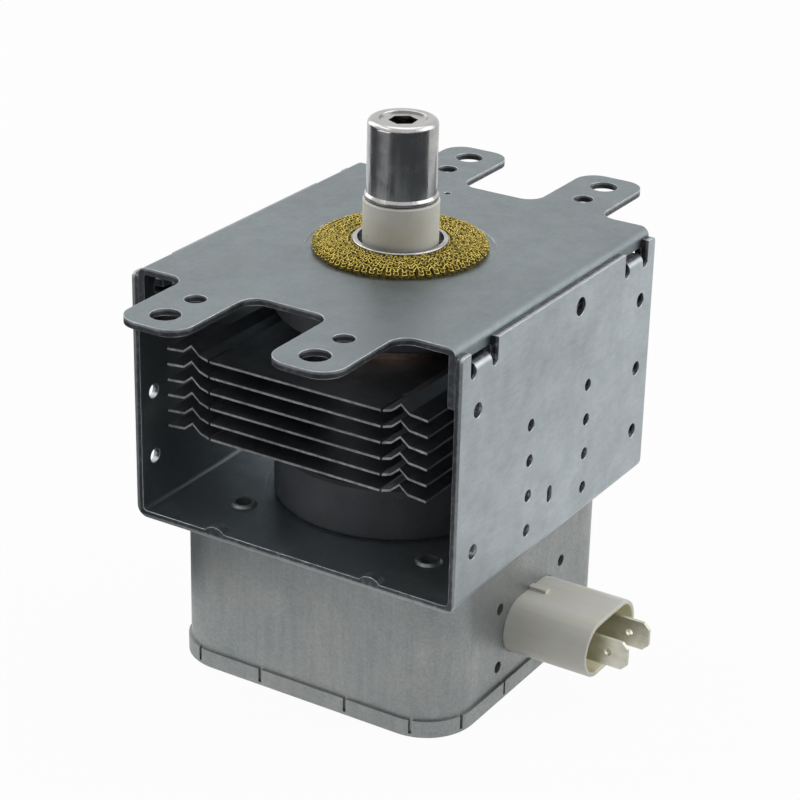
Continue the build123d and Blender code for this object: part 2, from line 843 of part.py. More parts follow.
lead_foot = stem_foot - terminal_thickness - terminal_tag
with BuildPart() as centre_lead:
    with BuildLine() as centre_route:
        FilletPolyline(
            (0, -lead_offset, lead_foot),
            (0, -lead_offset, lower_hat_top - lead_straight - lead_shift),
            (0, 0, lower_hat_top - lead_straight),
            (0, 0, upper_hat_foot + hat_thickness),
            radius=lead_bend,
        )
    with BuildSketch(Plane(origin=centre_route.line @ 0, z_dir=centre_route.line % 0)):
        Circle(lead_diameter / 2)
    sweep()
finish("centre_lead", centre_lead.part)

with BuildPart() as side_lead:
    with Locations((0, lead_offset, lead_foot)):
        Cylinder(
            lead_diameter / 2,
            lower_hat_top - hat_thickness - lead_foot,
            align=(Align.CENTER, Align.CENTER, Align.MIN),
        )
finish("side_lead", side_lead.part)


# Stem insulator with its creepage groove, and the two terminals brazed under it
with BuildPart() as stem_insulator:
    with Locations((0, 0, stem_top)):
        Cylinder(stem_diameter / 2, stem_length, align=(Align.CENTER, Align.CENTER, Align.MAX))
    with BuildSketch(Plane.XZ):
        with Locations((stem_diameter / 2, (stem_top + stem_foot) / 2)):
            Rectangle(2 * stem_groove, stem_length / 3)
    revolve(axis=Axis.Z, mode=Mode.SUBTRACT)
    with Locations((0, lead_offset, stem_top), (0, -lead_offset, stem_top)):
        Cylinder(lead_diameter / 2, 3 * stem_length, mode=Mode.SUBTRACT)
finish("stem_insulator", stem_insulator.part)

for name, side in (("centre_terminal", -1), ("side_terminal", 1)):
    with BuildPart() as terminal:
        with Locations((0, side * lead_offset, stem_foot)):
            Cylinder(
                terminal_diameter / 2, terminal_thickness, align=(Align.CENTER, Align.CENTER, Align.MAX)
            )
            Cylinder(
                lead_diameter / 2 + terminal_thickness,
                terminal_thickness + terminal_tag,
                align=(Align.CENTER, Align.CENTER, Align.MAX),
            )
            Cylinder(lead_diameter / 2, 6 * terminal_tag, mode=Mode.SUBTRACT)
    finish(name, terminal.part)


# Filter box: a drawn can with its mouth down, eyelets in its top and stakes round the socket
with BuildPart() as filter_box:
    with BuildSketch(Plane.XY.offset(box_floor)):
        RectangleRounded(box_length_x, box_length_y, box_corner)
    extrude(amount=box_top - box_floor)
    fillet(filter_box.faces().sort_by(Axis.Z)[-1].edges(), box_shoulder)
    offset(amount=-box_sheet, openings=filter_box.faces().sort_by(Axis.Z)[0])
    with Locations((0, 0, box_top)):
        Cylinder(floor_bore / 2, 4 * box_sheet, mode=Mode.SUBTRACT)
    eyelet_outer = eyelet_bore / 2 + eyelet_wall
    with Locations(*[(x, y, box_top - box_sheet) for x, y in eyelet_places]):
        Cylinder(
            eyelet_outer,
            box_sheet + sheet + eyelet_flare,
            align=(Align.CENTER, Align.CENTER, Align.MIN),
        )
    with Locations(*[(x, y, floor_level) for x, y in eyelet_places]):
        Cone(
            eyelet_outer + eyelet_flare,
            eyelet_outer,
            eyelet_flare,
            align=(Align.CENTER, Align.CENTER, Align.MIN),
        )
        Cylinder(eyelet_bore / 2, 6 * sheet, mode=Mode.SUBTRACT)

    # socket opening and the four hollow stakes that pass through the capacitor's plate
    with BuildSketch(wall_plane(box_face)):
        with Locations((0, socket_z)):
            SlotOverall(socket_width + 2 * socket_clearance, socket_height + 2 * socket_clearance)
    extrude(amount=-2 * box_sheet, mode=Mode.SUBTRACT)
    with BuildSketch(wall_plane(plate_inner_face)):
        with Locations((0, socket_z)):
            with GridLocations(stake_pitch_y, stake_pitch_z, 2, 2):
                Circle(stake_bore / 2 + stake_wall)
    extrude(amount=-capacitor_plate_sheet - stake_wall)
    with BuildSketch(wall_plane(box_face)):
        with Locations((0, socket_z)):
            with GridLocations(stake_pitch_y, stake_pitch_z, 2, 2):
                Circle(stake_bore / 2)
    extrude(amount=-6 * box_sheet, mode=Mode.SUBTRACT)
finish("filter_box", filter_box.part)


# Lid: a flat sheet whose rim is bent up round the box and slit into tabs
with BuildPart() as filter_lid:
    with BuildSketch(Plane.XY.offset(box_bottom)):
        RectangleRounded(box_length_x + 2 * lid_sheet, box_length_y + 2 * lid_sheet, box_corner + lid_sheet)
    extrude(amount=lid_sheet + lid_rim)
    chamfer(filter_lid.faces().sort_by(Axis.Z)[0].edges(), lid_sheet / 2)
    with BuildSketch(Plane.XY.offset(box_floor)):
        RectangleRounded(box_length_x, box_length_y, box_corner)
    extrude(amount=2 * lid_rim, mode=Mode.SUBTRACT)
    slit_level = box_floor + lid_rim
    with Locations(*[(side * x, 0, slit_level) for x in rim_slits_x for side in (-1, 1)]):
        Box(rim_slit, 2 * box_length_y, 2 * lid_rim - lid_sheet, mode=Mode.SUBTRACT)
    with Locations(*[(0, side * y, slit_level) for y in rim_slits_y for side in (-1, 1)]):
        Box(2 * box_length_x, rim_slit, 2 * lid_rim - lid_sheet, mode=Mode.SUBTRACT)
finish("filter_lid", filter_lid.part)


# Capacitor plate, staked to the inside of the box
with BuildPart() as capacitor_plate:
    with BuildSketch(wall_plane(plate_inner_face)):
        with Locations((0, socket_z)):
            RectangleRounded(*capacitor_plate_size, capacitor_plate_corner)
            SlotOverall(throat_width, throat_height, mode=Mode.SUBTRACT)
            with GridLocations(stake_pitch_y, stake_pitch_z, 2, 2):
                Circle(stake_bore / 2 + stake_wall, mode=Mode.SUBTRACT)
    extrude(amount=-capacitor_plate_sheet)
finish("capacitor_plate", capacitor_plate.part)


# Socket shell outside the plate, and the rear case inside it
def oval_tube(near, far, width, height, wall):
    """Return an oval tube along X between the planes near and far."""
    with BuildPart() as tube:
        with BuildSketch(wall_plane(near)):
            with Locations((0, socket_z)):
                SlotOverall(width, height)
                SlotOverall(width - 2 * wall, height - 2 * wall, mode=Mode.SUBTRACT)
        extrude(amount=far - near)
    return tube.part


socket_mouth = box_face + socket_reach
rear_end = plate_back - rear_case_length
with BuildPart() as socket_shell:
    add(oval_tube(plate_inner_face, socket_mouth, socket_width, socket_height, socket_wall))
    mouth = socket_shell.faces().sort_by(Axis.X)[-1].edges()
    fillet(mouth, socket_wall / 3)
    key_length, key_width, key_height = socket_key
    for side in (-1, 1):
        with Locations((box_face, 0, socket_z + side * (socket_height - socket_wall) / 2)):
            Box(
                key_length,
                key_width,
                key_height + socket_wall / 2,
                align=(Align.MIN, Align.CENTER, Align.MIN if side > 0 else Align.MAX),
            )
finish("socket_shell", socket_shell.part)
finish("rear_case", oval_tube(rear_end, plate_back, socket_width, socket_height, socket_wall))


# Ceramic capacitor element, and the sealing compound on both sides of the plate
tab_sides = (-tab_pitch / 2, tab_pitch / 2)
with BuildPart() as capacitor_element:
    with BuildSketch(wall_plane(plate_back)):
        with Locations((0, socket_z)):
            SlotOverall(element_width, element_height)
        with Locations(*[(y, socket_z) for y in tab_sides]):
            Circle(element_bore / 2, mode=Mode.SUBTRACT)
    extrude(amount=-element_length)
finish("capacitor_element", capacitor_element.part)


def filling(near, far):
    """Return the compound that fills the oval bore between the planes near and far."""
    with BuildPart() as fill:
        with BuildSketch(wall_plane(near)):
            with Locations((0, socket_z)):
                SlotOverall(socket_width - 2 * socket_wall, socket_height - 2 * socket_wall)
            with Locations(*[(y, socket_z) for y in tab_sides]):
                Circle(rod_diameter / 2 + rod_clearance, mode=Mode.SUBTRACT)
        extrude(amount=far - near)
    return fill.part


with BuildPart() as front_filling:
    add(filling(plate_inner_face, plate_inner_face + fill_front))
    for y in tab_sides:
        with Locations((tab_root, y, socket_z)):
            Box(
                2 * fill_front,
                tab_thickness + 2 * rod_clearance,
                tab_width + 2 * rod_clearance,
                align=(Align.MIN, Align.CENTER, Align.CENTER),
                mode=Mode.SUBTRACT,
            )
finish("front_filling", front_filling.part)
finish("rear_filling", filling(plate_back - element_length, plate_back - fill_rear))


# Tab conductors: a round rod inside and a flat push-on tab outside
rod_end = rear_end - rod_overhang
for number, y in enumerate(tab_sides):
    with BuildPart() as conductor:
        with BuildSketch(Plane.XZ.offset(-y)) as blade:
            with Locations((tab_root, socket_z)):
                Rectangle(tab_tip - tab_root, tab_width, align=(Align.MIN, Align.CENTER))
            chamfer(blade.vertices().group_by(Axis.X)[-1], tab_bevel)
            with Locations((tab_tip - tab_hole_inset, socket_z)):
                Circle(tab_hole / 2, mode=Mode.SUBTRACT)
        extrude(amount=tab_thickness / 2, both=True)
        with BuildSketch(wall_plane(rod_end)):
            with Locations((y, socket_z)):
                Circle(rod_diameter / 2)
        extrude(amount=tab_root + tab_thickness - rod_end)
    finish(f"tab_conductor_{number + 1}", conductor.part)


# Chokes: a wire coil round a ferrite core, one on each side of the stem
coil_radius = (choke_diameter - choke_wire) / 2
choke_length = 2 * (rod_end - choke_end_gap)
choke_pitch = choke_length / choke_turns
core_radius = coil_radius - choke_wire / 2 - core_clearance
coil_start = (-choke_length / 2, choke_place, socket_z)


def wire_along(route):
    """Return the choke's wire along a route."""
    with BuildPart() as wire:
        with BuildSketch(Plane(origin=route @ 0, z_dir=route % 0)):
            Circle(choke_wire / 2)
        sweep(path=route, is_frenet=True)
    return wire.part


with BuildPart() as choke_coil:
    with BuildLine() as turns:
        Helix(choke_pitch, choke_length, coil_radius, center=coil_start, direction=(1, 0, 0), lefthand=True)
    add(wire_along(turns.line))
    stem_side = turns.line @ 0
    socket_side = turns.line @ 1
    with BuildLine() as socket_lead:
        FilletPolyline(
            socket_side + Vector(0, choke_joint, 0),
            (socket_side.X, tab_pitch / 2 + choke_lead_drop, socket_side.Z),
            (rod_end - choke_lead_run, tab_pitch / 2, socket_z),
            (rod_end, tab_pitch / 2, socket_z),
            radius=choke_lead_bend,
        )
    add(wire_along(socket_lead.line))
    with BuildLine() as stem_lead:
        FilletPolyline(
            stem_side + Vector(0, choke_joint, 0),
            (stem_side.X, lead_offset + choke_lead_drop, stem_side.Z),
            (stem_side.X + choke_lead_run, lead_offset, lead_foot + terminal_tag / 3),
            (-lead_diameter / 2 - terminal_thickness, lead_offset, lead_foot + terminal_tag / 3),
            radius=choke_lead_bend,
        )
    add(wire_along(stem_lead.line))
finish("choke_coil_1", choke_coil.part)
finish("choke_coil_2", mirror(choke_coil.part, about=Plane.XZ))

for number, side in enumerate((1, -1)):
    with BuildPart() as choke_core:
        with Locations((0, side * choke_place, socket_z)):
            Cylinder(core_radius, choke_length + 2 * core_overhang, rotation=(0, 90, 0))
        chamfer(choke_core.edges().filter_by(GeomType.CIRCLE), core_clearance)
    finish(f"choke_core_{number + 1}", choke_core.part)
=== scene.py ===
"""Looks of a magnetron: plated steel yoke, fins, knitted gasket, antenna, filter box and socket.

Metres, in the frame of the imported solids: Z points along the antenna and X towards the socket.
"""

from math import cos, pi, radians, sin, tau

import bmesh
import bpy
from bpy.props import FloatProperty, FloatVectorProperty, IntProperty, PointerProperty
from mathutils import Matrix, Vector


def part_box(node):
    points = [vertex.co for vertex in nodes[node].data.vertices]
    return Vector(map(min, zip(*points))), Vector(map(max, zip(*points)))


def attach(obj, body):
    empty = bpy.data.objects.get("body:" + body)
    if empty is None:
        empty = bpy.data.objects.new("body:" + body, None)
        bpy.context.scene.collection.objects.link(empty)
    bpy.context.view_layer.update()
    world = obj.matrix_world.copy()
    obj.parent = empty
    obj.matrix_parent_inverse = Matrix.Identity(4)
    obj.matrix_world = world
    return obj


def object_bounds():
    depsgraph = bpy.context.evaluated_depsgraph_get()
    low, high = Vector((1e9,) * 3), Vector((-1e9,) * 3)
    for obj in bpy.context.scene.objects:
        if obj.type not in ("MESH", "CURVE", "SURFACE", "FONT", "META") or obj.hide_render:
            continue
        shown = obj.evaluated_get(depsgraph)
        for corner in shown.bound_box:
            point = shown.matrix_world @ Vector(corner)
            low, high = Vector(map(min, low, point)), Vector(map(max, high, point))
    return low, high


bl_info = {
    "name": "Magnetron looks",
    "version": (1, 0, 0),
    "blender": (4, 5, 0),
    "location": "3D View > Sidebar > Magnetron",
    "description": "Finishes, knitted gasket and studio of a magnetron",
    "category": "Object",
}

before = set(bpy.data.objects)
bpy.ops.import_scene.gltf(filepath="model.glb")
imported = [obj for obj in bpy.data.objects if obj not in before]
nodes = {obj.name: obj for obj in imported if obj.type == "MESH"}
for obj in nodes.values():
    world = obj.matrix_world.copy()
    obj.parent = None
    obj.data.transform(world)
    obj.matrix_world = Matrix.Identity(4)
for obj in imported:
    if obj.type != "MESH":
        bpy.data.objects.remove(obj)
solid_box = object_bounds()

X, Y, Z = range(3)
UP = Vector((0, 0, 1))

# Sockets of a Mix node that mixes colours.
MIX_SHARE, MIX_FIRST, MIX_SECOND, MIX_RESULT = 0, 6, 7, 2

# Spans of a noise that a mask goes from nothing to full in.
SOFT = (0.3, 0.7)
BROAD = (0.35, 0.65)
PATCHY = (0.35, 0.7)
FIRM = (0.4, 0.7)

# How squarely a face looks along an axis before a mask takes it in.
FACING = (0.6, 0.7)
FACING_SQUARELY = (0.75, 0.85)
FACING_AWAY = (0.4, 0.3)

# Places between which the masks of the yoke's sheared edges fade, in metres.
PLATE_UNDERSIDE = (-0.0016, -0.0013)
PLATE_BURNISH = (-0.0007, -0.0004)
FLANGE_INSIDE = (0.034, 0.033)
WALL_TOPS = (-0.0075, -0.007)
WALL_BURNISH = (0.0380, 0.0383)
FLOOR_BURNISH = (-0.0556, -0.0559)

# The sheets' rounded edges: radius in metres, and the cosines of the turns of their normal
# between which they go from plated to worn bright: partly real wear, partly a painted highlight.
EDGE_RADIUS = 0.0003
EDGE_SAMPLES = 6
EDGE_WEAR_AND_HIGHLIGHT = (0.985, 0.85)

# Colours of the finishes that have no setting of their own.
# Broken zinc: the dull fracture of a sheared edge, darkened further as painted shade.
BROKEN_ZINC_AND_PAINTED_SHADE = (0.075, 0.08, 0.087)
BURNISHED_ZINC = (0.34, 0.355, 0.365)
# Worn zinc: the bright rubbed corners, partly real wear and partly a painted highlight.
WORN_ZINC_AND_PAINTED_HIGHLIGHT = (0.60, 0.62, 0.64)
SHEARED_ALUMINIUM = (0.72, 0.73, 0.74)
MAGNET_FERRITE = (0.070, 0.073, 0.082)
CORE_FERRITE = (0.10, 0.10, 0.11)
BARE_COPPER = (0.26, 0.18, 0.14)
ENAMELLED_COPPER = (0.55, 0.23, 0.10)
IRON = (0.42, 0.41, 0.40)
# Seal steel: darkened beyond drawn steel as painted shade in the gap at the ceramic's foot.
SEAL_STEEL_WITH_PAINTED_SHADE = (0.20, 0.20, 0.20)
CAP_STEEL = (0.46, 0.455, 0.45)
COLLAR_STEEL = (0.46, 0.46, 0.455)
PLATE_STEEL = (0.56, 0.56, 0.55)
MOLYBDENUM = (0.48, 0.48, 0.50)
TUNGSTEN = (0.16, 0.16, 0.17)
TINNED_BRASS = (0.60, 0.59, 0.50)
# Packed wire under the knit: dark as painted shade, its weave mixing painted shade and light.
PACKED_WIRE_PAINTED_SHADE = (0.16, 0.11, 0.02)
WEAVE_PAINTED_SHADE = (0.06, 0.045, 0.01)
WEAVE_PAINTED_LIGHT = (0.24, 0.19, 0.04)
ANTENNA_ALUMINA = (0.88, 0.875, 0.83)
STEM_ALUMINA = (0.80, 0.79, 0.75)
CAPACITOR_CERAMIC = (0.72, 0.68, 0.58)
CERAMIC_SPECK = (0.50, 0.47, 0.40)
CREAM = (0.80, 0.79, 0.75)
# A painted glow for the socket's inside, standing for light let through its walls.
PAINTED_GLOW_CREAM = (0.96, 0.92, 0.70)
COMPOUND = (0.62, 0.58, 0.46)
FLOOR_PAINT = (0.80, 0.80, 0.80)
DARK_CLOTH = (0.055, 0.061, 0.070)
WHITE = (1.0, 1.0, 1.0)

# Heights above the plate's upper face, in metres: dirt on a ceramic, and folds in the cap.
DIRTY_HEIGHTS = (0.0, 0.011)
FOLDED_HEIGHTS = (0.013, 0.021)

# The socket's inside, in metres: how far a wall's normal points at the axis, by its distance
# from the axis, and how deep the floor starts.
WALL_INWARD = (-0.001, -0.002)
SOCKET_FLOOR_DEPTH = 0.003

# The knitted wire's sides, and the points along one stitch.
WIRE_SIDES = 5
STITCH_POINTS = 12

# A stitch's lean and shift as shares of a row, its reach as a share of a ring's width, its rise
# as a share of the loop depth, and its clearance from the collar in wires.
STITCH_LEAN = 0.17
STITCH_SHIFT = 0.09
STITCH_REACH = 0.86
REACH_CHANGE = 0.16
STITCH_RISE = 0.8
RISE_CHANGE = 0.7
COLLAR_CLEARANCE = 0.6

# Two waves, in radians for each row and each ring, whose product makes the stitches uneven.
FAST_WAVE = (2.4, 1.7)
SLOW_WAVE = (0.9, -2.2)

# The gasket's rolled edge: radius as a share of its height, clearance in metres, and half turns.
ROLL_SHARE = 0.43
ROLL_CLEARANCE = 0.0002
ROLL_HALF_TURNS = 0.58

# Name, place, width and height of each lamp, in metres, and its brightness as radiance.
LAMPS = (
    ("right_softbox", (0.95, 0.55, 0.55), 1.2, 1.2, 1.8),
    ("left_softbox", (-1.05, 0.10, 0.45), 0.7, 1.2, 1.6),
    ("top_softbox", (-0.1, 0.35, 1.3), 1.2, 1.0, 1.6),
    ("front_strip", (-0.62, -0.50, 0.95), 0.7, 0.3, 2.2),
    ("low_fill", (-0.30, -0.50, -0.045), 0.45, 0.07, 4.5),
)
LAMP_AIM = (0, 0, -0.03)

SENSOR_MILLIMETRES = 36.0
CLIP_START = 0.01
FLOOR_SIZE = 4.0
FLOOR_DROP = 0.0002

# The dark cloth: its sweep in degrees about the camera's azimuth, its faces, and its inner
# radii, reach, lift off the floor and upright height in metres.
CLOTH_SWEEP = (-125, 92)
CLOTH_FACES = 40
CLOTH_INNER = (0.045, 0.20)
CLOTH_REACH = 0.7
CLOTH_LIFT = 0.001
SCREEN_HEIGHT = 0.2


class MetalSettings(bpy.types.PropertyGroup):
    """Colours of the sheet metal."""

    plate_colour: FloatVectorProperty(
        name="Plate colour",
        description="Zinc plate of the mounting plate",
        subtype="COLOR",
        default=(0.220, 0.252, 0.264),
    )
    channel_colour: FloatVectorProperty(
        name="Channel colour",
        description="Zinc plate of the yoke's lower channel",
        subtype="COLOR",
        default=(0.437, 0.482, 0.502),
    )
    box_colour: FloatVectorProperty(
        name="Box colour",
        description="Galvanised sheet of the filter box and its lid",
        subtype="COLOR",
        default=(0.375, 0.386, 0.38),
    )
    fin_colour: FloatVectorProperty(
        name="Fin colour",
        description="Rolled aluminium of the cooling fins",
        subtype="COLOR",
        default=(0.58, 0.60, 0.63),
    )
    mottle_size: FloatProperty(
        name="Mottle size",
        description="Width of one cloudy patch in the zinc",
        subtype="DISTANCE",
        default=0.006,
        min=0.001,
    )


class GasketSettings(bpy.types.PropertyGroup):
    """Sizes of the knitted gasket."""

    rows: IntProperty(
        name="Radial rows",
        description="Stitches round the ring",
        default=68,
        min=24,
    )
    rings: IntProperty(
        name="Rings",
        description="Stitches from the collar to the outer edge",
        default=7,
        min=3,
    )
    wire: FloatProperty(
        name="Wire",
        description="Diameter of the brass wire",
        subtype="DISTANCE",
        default=0.00028,
    )
    loop_depth: FloatProperty(
        name="Loop depth",
        description="How far a stitch rises and sinks in the fabric",
        subtype="DISTANCE",
        default=0.0003,
    )
    colour: FloatVectorProperty(
        name="Brass colour",
        description="Colour of the knitted wire",
        subtype="COLOR",
        default=(0.52, 0.41, 0.095),
    )


class StudioSettings(bpy.types.PropertyGroup):
    """Camera and light."""

    camera_place: FloatVectorProperty(
        name="Camera place",
        description="Where the lens stands",
        subtype="TRANSLATION",
        default=(0.2472, -0.4030, 0.1790),
    )
    azimuth: FloatProperty(
        name="Azimuth",
        description="Turn of the view about Z, from the open front towards the socket",
        subtype="ANGLE",
        default=radians(31.444),
    )
    elevation: FloatProperty(
        name="Elevation",
        description="Angle of the view above the horizon",
        subtype="ANGLE",
        default=radians(24.34),
    )
    roll: FloatProperty(
        name="Roll",
        description="Turn of the view about the lens",
        subtype="ANGLE",
        default=radians(1.345),
    )
    lens: FloatProperty(
        name="Lens",
        description="Focal length in millimetres",
        default=110.02,
    )
    ambient: FloatProperty(
        name="Ambient",
        description="Brightness of the studio behind the lamps",
        default=0.15,
        min=0.0,
    )
    backdrop: FloatProperty(
        name="Backdrop",
        description="How white the floor looks, with its shadow in the rest",
        default=0.96,
        min=0.0,
        max=1.0,
    )


def between(ends, share):
    """Return the number at a share of the way from one end to the other."""
    return ends[0] + (ends[1] - ends[0]) * share


def tinted(colour, shares):
    """Return a colour with each of its channels scaled."""
    return tuple(channel * share for channel, share in zip(colour, shares))


class Recipe:
    """A new material whose nodes are added one by one onto its shader."""

    def __init__(self, name, colour, metallic=0.0, roughness=0.5):
        self.material = bpy.data.materials.new(name)
        self.material.use_nodes = True
        self.material.diffuse_color = (*colour, 1.0)
        self.tree = self.material.node_tree
        self.shader = self.tree.nodes["Principled BSDF"]
        self.set("Base Color", colour)
        self.set("Metallic", metallic)
        self.set("Roughness", roughness)
        self.place = self.add("ShaderNodeTexCoord").outputs["Object"]

    def feed(self, socket, value):
        """Give an input a link, a colour or another value."""
        if isinstance(value, bpy.types.NodeSocket):
            self.tree.links.new(value, socket)
        elif socket.type == "RGBA":
            socket.default_value = (*value[:3], 1.0)
        else:
            socket.default_value = value

    def set(self, socket, value):
        """Give one input of the shader a value or a link."""
        self.feed(self.shader.inputs[socket], value)

    def add(self, kind, inputs=None, **settings):
        """Add a node, with values or links for its inputs by name or number."""
        node = self.tree.nodes.new(kind)
        for key, value in settings.items():
            setattr(node, key, value)
        for key, value in (inputs or {}).items():
            self.feed(node.inputs[key], value)
        return node

    def noise(self, size, stretch=(1, 1, 1), detail=3.0, roughness=0.55):
        """Return cloudy noise whose patches are about size wide before stretching."""
        mapping = self.add("ShaderNodeMapping", {"Vector": self.place, "Scale": stretch})
        inputs = {
            "Vector": mapping.outputs[0],
            "Scale": 1 / size,
            "Detail": detail,
            "Roughness": roughness,
        }
        return self.add("ShaderNodeTexNoise", inputs).outputs["Fac"]

    def cells(self, size):
        """Return a random share for each cell about size wide."""
        inputs = {"Vector": self.place, "Scale": 1 / size}
        colour = self.add("ShaderNodeTexVoronoi", inputs).outputs["Color"]
        return self.add("ShaderNodeSeparateColor", {0: colour}).outputs[0]

    def math(self, operation, first, second=0.0, clamp=False):
        """Return the result of one sum."""
        inputs = {0: first, 1: second}
        return self.add("ShaderNodeMath", inputs, operation=operation, use_clamp=clamp).outputs[0]

    def vector_math(self, operation, first, second, output=0):
        """Return the result of one sum with vectors."""
        inputs = {0: first, 1: second}
        return self.add("ShaderNodeVectorMath", inputs, operation=operation).outputs[output]

    def span(self, value, source, result=(0.0, 1.0)):
        """Return value mapped from one span onto another, clamped."""
        inputs = {
            "Value": value,
            "From Min": source[0],
            "From Max": source[1],
            "To Min": result[0],
            "To Max": result[1],
        }
        return self.add("ShaderNodeMapRange", inputs).outputs[0]

    def mix(self, share, first, second, blend="MIX"):
        """Return a colour mixed from two."""
        inputs = {MIX_SHARE: share, MIX_FIRST: first, MIX_SECOND: second}
        node = self.add("ShaderNodeMix", inputs, data_type="RGBA", blend_type=blend)
        return node.outputs[MIX_RESULT]

    def stained(self, colour, *stains):
        """Return colour darkened by stains, each given as (share, amount)."""
        for share, amount in stains:
            factor = self.span(share, (0.0, 1.0), (1.0, 1.0 - amount))
            grey = self.add("ShaderNodeCombineColor", {0: factor, 1: factor, 2: factor})
            colour = self.mix(1.0, colour, grey.outputs[0], blend="MULTIPLY")
        return colour

    def normal(self):
        """Return the normal of the surface as it is built."""
        return self.add("ShaderNodeNewGeometry").outputs["True Normal"]

    def rounded(self, radius):
        """Return the normal of the surface with its edges rounded to a radius."""
        return self.add("ShaderNodeBevel", {"Radius": radius}, samples=EDGE_SAMPLES).outputs[0]

    def edge_share(self, rounded):
        """Return how far the rounded normal leaves the flat one, which marks the edges."""
        agree = self.vector_math("DOT_PRODUCT", rounded, self.normal(), "Value")
        return self.span(agree, EDGE_WEAR_AND_HIGHLIGHT)

    def bump(self, *layers, normal=None):
        """Lay heights on the surface, each given as (height, distance)."""
        for height, distance in layers:
            inputs = {"Height": height, "Distance": distance, "Strength": 1.0}
            if normal is not None:
                inputs["Normal"] = normal
            normal = self.add("ShaderNodeBump", inputs).outputs[0]
        self.set("Normal", normal)

    def facing(self, axis):
        """Return how squarely the surface faces along an axis, both ways."""
        split = self.add("ShaderNodeSeparateXYZ", {0: self.normal()})
        return self.math("ABSOLUTE", split.outputs[axis])

    def along(self, axis):
        """Return the place along an axis."""
        return self.add("ShaderNodeSeparateXYZ", {0: self.place}).outputs[axis]


def dress(recipe, *names):
    """Put a material on the named solids."""
    for name in names:
        slots = nodes[name].data.materials
        if slots:
            for number in range(len(slots)):
                slots[number] = recipe.material
        else:
            slots.append(recipe.material)


def zinc_plate(name, colour, mottle, edge_test, burnish_test):
    """Satin zinc plate on rolled sheet, with sheared edges and bright corners,
    which are partly worn and partly a painted highlight.

    A sheared edge is burnished along one side of the sheet and dull where it broke,
    and the dull part is darker still as painted shade under the edge.
    """
    r = Recipe(name, colour, metallic=1.0, roughness=0.42)
    broad = r.noise(mottle * 6, detail=2.0)
    clouds = r.noise(mottle, detail=5.0, roughness=0.6)
    grain = r.noise(0.0008, stretch=(1, 0.3, 1), detail=4.0, roughness=0.7)
    specks = r.noise(0.0004, detail=2.0)
    tone = r.stained(
        colour,
        (r.span(broad, BROAD), 0.12),
        (r.span(clouds, PATCHY), 0.10),
        (r.span(grain, SOFT), 0.10),
        (r.span(specks, (0.60, 0.72)), 0.15),
    )
    sheared = edge_test(r)
    ragged = r.span(r.noise(0.0012), SOFT, (-0.25, 0.25))
    burnished = r.math("ADD", burnish_test(r), ragged, clamp=True)
    # Sheared edges: bright burnish above, dark below, partly real fracture and partly painted
    # shade.
    edge_tone = r.mix(burnished, BROKEN_ZINC_AND_PAINTED_SHADE, BURNISHED_ZINC)
    rounded = r.rounded(EDGE_RADIUS)
    # Corners worn bright: partly real wear, partly a painted highlight on the rounded edges.
    rubbed = r.span(r.noise(0.0025), (0.38, 0.6), (0.3, 1.0))
    wear_and_painted_highlight = r.math("MULTIPLY", r.edge_share(rounded), rubbed)
    r.set("Base Color", r.mix(wear_and_painted_highlight, r.mix(sheared, tone, edge_tone), WORN_ZINC_AND_PAINTED_HIGHLIGHT))
    cloudy_gloss = r.span(clouds, SOFT, (0.34, 0.46))
    rough = r.math("ADD", cloudy_gloss, r.span(grain, SOFT, (-0.03, 0.05)))
    r.set("Roughness", r.math("ADD", rough, r.math("MULTIPLY", sheared, 0.08)))
    r.bump((clouds, 0.00003), (grain, 0.000012), (specks, 0.00002), normal=rounded)
    return r


def galvanised_sheet(name, colour, mottle):
    """Drawn galvanised sheet: fine frosted spangle, and faint streaks of drawing."""
    r = Recipe(name, colour, metallic=0.7, roughness=0.45)
    spangle = r.cells(mottle * 0.1)
    clouds = r.noise(mottle * 2, detail=4.0, roughness=0.6)
    streaks = r.noise(0.0016, stretch=(1, 1, 0.10), detail=4.0, roughness=0.65)
    fine = r.noise(0.0005, detail=3.0, roughness=0.7)
    tone = r.mix(r.span(clouds, SOFT), colour, tinted(colour, (0.88, 0.93, 0.94)))
    tone = r.stained(
        tone,
        (spangle, 0.07),
        (r.span(r.noise(mottle * 5, detail=3.0), BROAD), 0.12),
        (r.span(streaks, PATCHY), 0.12),
        (r.span(fine, (0.45, 0.7)), 0.16),
    )
    r.set("Base Color", tone)
    cloudy_gloss = r.span(clouds, SOFT, (0.40, 0.50))
    r.set("Roughness", r.math("ADD", cloudy_gloss, r.span(spangle, (0.0, 1.0), (-0.05, 0.05))))
    r.bump((streaks, 0.00003), (clouds, 0.00005), (fine, 0.00003))
    return r


def turned_metal(
    name, colour, roughness=0.3, tarnish=0.2, stretch=(1, 1, 0.08), metallic=1.0, cloud=0.003
):
    """Drawn or turned metal, with fine lines and a little tarnish."""
    r = Recipe(name, colour, metallic=metallic, roughness=roughness)
    lines = r.noise(0.0005, stretch=stretch, detail=4.0, roughness=0.7)
    clouds = r.noise(cloud, detail=4.0)
    tone = r.stained(colour, (r.span(clouds, FIRM), tarnish), (r.span(lines, FIRM), 0.12))
    r.set("Base Color", tone)
    r.set("Roughness", r.span(clouds, SOFT, (roughness - 0.05, roughness + 0.1)))
    r.bump((lines, 0.00002), (clouds, 0.00005))
    return r


def ground_ferrite(name, colour):
    """Sintered ferrite: near black, with a dull ground face and tiny pores."""
    r = Recipe(name, colour, roughness=0.55)
    grit = r.noise(0.0004, detail=4.0, roughness=0.7)
    clouds = r.noise(0.006, detail=3.0)
    tone = r.stained(colour, (r.span(clouds, PATCHY), 0.25))
    glints = tinted(colour, (2.2, 2.2, 2.2))
    r.set("Base Color", r.mix(r.span(grit, (0.62, 0.72)), tone, glints))
    r.set("Roughness", r.span(grit, SOFT, (0.42, 0.62)))
    r.bump((grit, 0.00003), (clouds, 0.00006))
    return r


